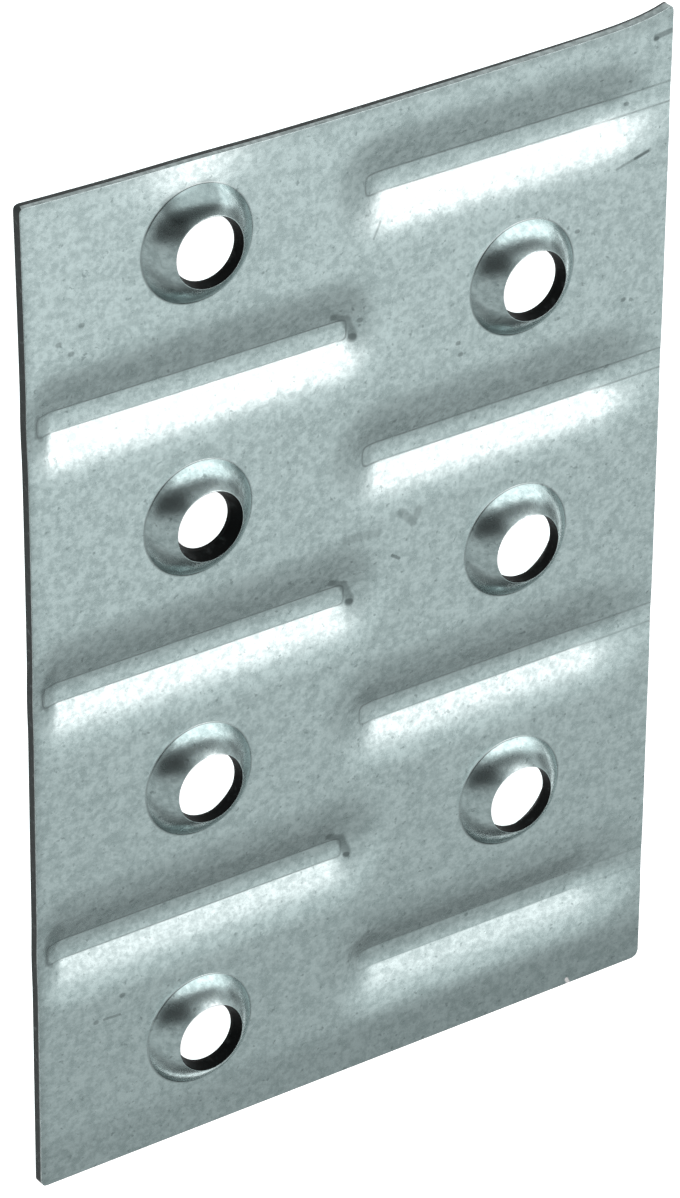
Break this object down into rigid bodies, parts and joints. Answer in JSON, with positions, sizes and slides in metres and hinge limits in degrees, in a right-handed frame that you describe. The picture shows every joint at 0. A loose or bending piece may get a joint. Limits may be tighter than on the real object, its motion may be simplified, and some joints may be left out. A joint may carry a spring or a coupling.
{
  "type": "truss nail plate",
  "caption": "Pressed galvanised steel nail plate for joining roof timbers, with staggered dimpled nail holes opposite stiffening beads.",
  "frame": {"origin": "Middle of the plate's outline, at the height of its lowest point, under the bead beside the curled corner", "axes": "X runs across the plate from the column of nail holes with more holes to the other, Y runs along the plate toward the edge with the raised corner, and +Z points out of the dimpled face"},
  "size_m": [0.05, 0.0749, 0.0031],
  "materials": {
    "galvanised_sheet": "galvanised, with a fine mottled spangle and dark sheared edges"
  },
  "bodies": {
    "root": {"nail_plate": "galvanised_sheet"}
  },
  "joints": []
}
